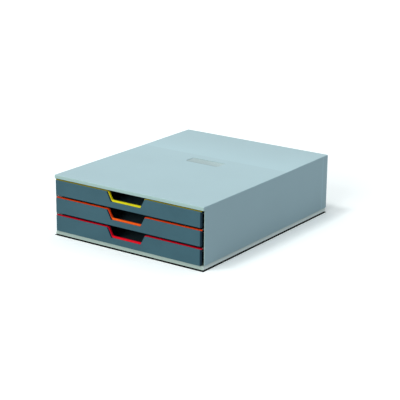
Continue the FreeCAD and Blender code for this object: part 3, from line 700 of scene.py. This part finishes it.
class FILEDRAWER_OT_rails(bpy.types.Operator):
    """Smooth grey plastic on the rails"""

    bl_idname = "file_drawer.rails"
    bl_label = "Rails"

    def execute(self, context):
        look = context.scene.file_drawer_drawers
        material = plastic(
            "rail_plastic", drifting(look.rail_colour, tint=0.9, patch_size=0.04),
            context.scene.file_drawer_housing, roughness=0.35, deeper=0.4)
        finish(material, *nodes_named("rail_"))
        return {"FINISHED"}


# ---------------------------------------------------------------- stage


def direction_to(azimuth, elevation):
    """Unit vector from the object to where something stands, azimuth turned right of the front."""
    return Vector((math.sin(azimuth) * math.cos(elevation), -math.cos(azimuth) * math.cos(elevation),
                   math.sin(elevation)))


class FILEDRAWER_OT_stage(bpy.types.Operator):
    """Pale floor, white surround, a soft key light, a broad top light and a low light on the fronts"""

    bl_idname = "file_drawer.stage"
    bl_label = "Stage"

    def execute(self, context):
        studio = context.scene.file_drawer_studio
        self.lay_floor(context, studio)
        self.hang_lamp(context, "key_light", studio.key_strength, studio.key_softness,
                       direction_to(-studio.key_azimuth, studio.key_elevation))
        self.hang_lamp(context, "top_light", studio.top_strength, studio.top_softness, Vector((0, 0, 1)))
        self.hang_lamp(context, "fill_light", studio.fill_strength, studio.fill_softness,
                       direction_to(-studio.fill_azimuth, studio.fill_elevation), shines=False)
        self.light_surround(context, studio)
        context.scene.view_settings.view_transform = "Standard"
        return {"FINISHED"}

    def lay_floor(self, context, studio):
        """A square grid in x and y at the height that the object stands on."""
        lines = FLOOR_CELLS + 1
        steps = np.linspace(-0.5, 0.5, lines) * studio.floor_size
        x, y = np.meshgrid(steps, steps)
        points = np.stack([x.ravel(), y.ravel(), np.zeros(x.size)], axis=1)
        cells = np.arange(FLOOR_CELLS)
        corner = (cells[:, None] * lines + cells[None, :]).ravel()
        faces = np.stack([corner, corner + 1, corner + lines + 1, corner + lines], axis=1)
        mesh = bpy.data.meshes.new("floor")
        mesh.from_pydata(points.tolist(), [], faces.tolist())
        mesh.materials.append(self.floor_material(studio))
        floor = bpy.data.objects.new("floor", mesh)
        context.scene.collection.objects.link(floor)

    def floor_material(self, studio):
        """Matt and pale, paler to the camera than to the lamps, and nearly black under the base with a
        painted shadow.
        """
        material = bpy.data.materials.new("pale_floor")
        material.use_nodes = True
        tree = material.node_tree
        shader = tree.nodes["Principled BSDF"]
        shader.inputs["Roughness"].default_value = 1.0
        shader.inputs["Specular IOR Level"].default_value = 0.0
        lifted = tuple(channel * studio.floor_lift for channel in studio.floor_colour)
        colour = mix_colour(tree, self.seen_directly(tree), opaque(studio.floor_colour), opaque(lifted))
        covered = product(tree, self.painted_shadow_under_box(tree, studio), studio.gap_painted_shadow)
        tree.links.new(mix_colour(tree, covered, colour, BLACK), shader.inputs["Base Color"])
        return material

    def painted_shadow_under_box(self, tree, studio):
        """1 on the floor under the base, where a painted shadow stands for the light that the low skirt
        keeps out, else 0.
        """
        low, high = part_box("base_pan")
        return product(tree, *(
            near(tree, place_along(tree, axis), (low[number] + high[number]) / 2,
                 (high[number] - low[number]) / 2 + studio.gap_reach)
            for number, axis in enumerate("XY")))

    def seen_directly(self, tree):
        """1 for what the camera sees straight, in a reflection or through glass, else 0."""
        path = node(tree, "ShaderNodeLightPath")
        glossy = math_node(tree, "MAXIMUM", path.outputs["Is Camera Ray"], path.outputs["Is Glossy Ray"])
        return math_node(tree, "MAXIMUM", glossy, path.outputs["Is Transmission Ray"])

    def hang_lamp(self, context, name, strength, softness, towards, shines=True):
        """A sun lamp whose light comes from a direction, with or without its shine on glossy faces."""
        lamp = bpy.data.lights.new(name, "SUN")
        lamp.energy = strength
        lamp.angle = softness
        hung = bpy.data.objects.new(name, lamp)
        hung.rotation_mode = "QUATERNION"
        hung.rotation_quaternion = towards.to_track_quat("Z", "Y")
        hung.location = towards * LAMP_DISTANCE
        hung.visible_glossy = shines
        context.scene.collection.objects.link(hung)

    def light_surround(self, context, studio):
        """A world that looks white and lights the object with a weaker, faintly blue light."""
        world = bpy.data.worlds.new("white_surround")
        world.use_nodes = True
        tree = world.node_tree
        soft = tree.nodes["Background"]
        soft.inputs["Color"].default_value = opaque(studio.sky_colour)
        soft.inputs["Strength"].default_value = studio.sky_strength
        white = node(tree, "ShaderNodeBackground")
        white.inputs["Color"].default_value = WHITE
        white.inputs["Strength"].default_value = 1.0
        chosen = node(tree, "ShaderNodeMixShader")
        tree.links.new(self.seen_directly(tree), chosen.inputs[0])
        tree.links.new(soft.outputs[0], chosen.inputs[1])
        tree.links.new(white.outputs[0], chosen.inputs[2])
        tree.links.new(chosen.outputs[0], tree.nodes["World Output"].inputs["Surface"])
        context.scene.world = world


class FILEDRAWER_OT_camera(bpy.types.Operator):
    """Camera at the front right, a little above the top"""

    bl_idname = "file_drawer.camera"
    bl_label = "Camera"

    def execute(self, context):
        studio = context.scene.file_drawer_studio
        data = bpy.data.cameras.new("camera")
        data.lens = studio.lens
        data.sensor_width = SENSOR_WIDTH
        data.clip_start = 0.05
        data.clip_end = 50.0
        camera = bpy.data.objects.new("camera", data)
        back = direction_to(studio.camera_azimuth, studio.camera_elevation)
        level = Vector((0, 0, 1)).cross(back).normalized()
        upright = back.cross(level)
        right = level * math.cos(studio.camera_roll) + upright * math.sin(studio.camera_roll)
        up = back.cross(right)
        place = Vector(studio.camera_target) + back * studio.camera_distance
        camera.matrix_world = Matrix.Translation(place) @ Matrix((right, up, back)).transposed().to_4x4()
        context.scene.collection.objects.link(camera)
        context.scene.camera = camera
        return {"FINISHED"}


class FILEDRAWER_PT_panel(bpy.types.Panel):
    """Colours, sizes and steps in the sidebar of the 3D view"""

    bl_idname = "FILEDRAWER_PT_panel"
    bl_label = "File Drawer"
    bl_space_type = "VIEW_3D"
    bl_region_type = "UI"
    bl_category = "File Drawer"

    def draw(self, context):
        for group in ("housing", "drawers", "studio"):
            box = self.layout.box()
            settings = getattr(context.scene, f"file_drawer_{group}")
            for name in settings.__annotations__:
                box.prop(settings, name)
        for operator in STEPS:
            self.layout.operator(operator.bl_idname)


STEPS = (
    FILEDRAWER_OT_camera, FILEDRAWER_OT_housing, FILEDRAWER_OT_base, FILEDRAWER_OT_name_plate,
    FILEDRAWER_OT_fronts, FILEDRAWER_OT_strips, FILEDRAWER_OT_trays, FILEDRAWER_OT_rails,
    FILEDRAWER_OT_stage,
)
CLASSES = (HousingFinish, DrawerFinish, StudioSettings, *STEPS, FILEDRAWER_PT_panel)


def register():
    for each in CLASSES:
        bpy.utils.register_class(each)
    bpy.types.Scene.file_drawer_housing = bpy.props.PointerProperty(type=HousingFinish)
    bpy.types.Scene.file_drawer_drawers = bpy.props.PointerProperty(type=DrawerFinish)
    bpy.types.Scene.file_drawer_studio = bpy.props.PointerProperty(type=StudioSettings)


def unregister():
    for group in ("housing", "drawers", "studio"):
        delattr(bpy.types.Scene, f"file_drawer_{group}")
    for each in reversed(CLASSES):
        bpy.utils.unregister_class(each)


def main():
    register()
    for step in STEPS:
        family, name = step.bl_idname.split(".")
        getattr(getattr(bpy.ops, family), name)()


if __name__ == "__main__":
    main()
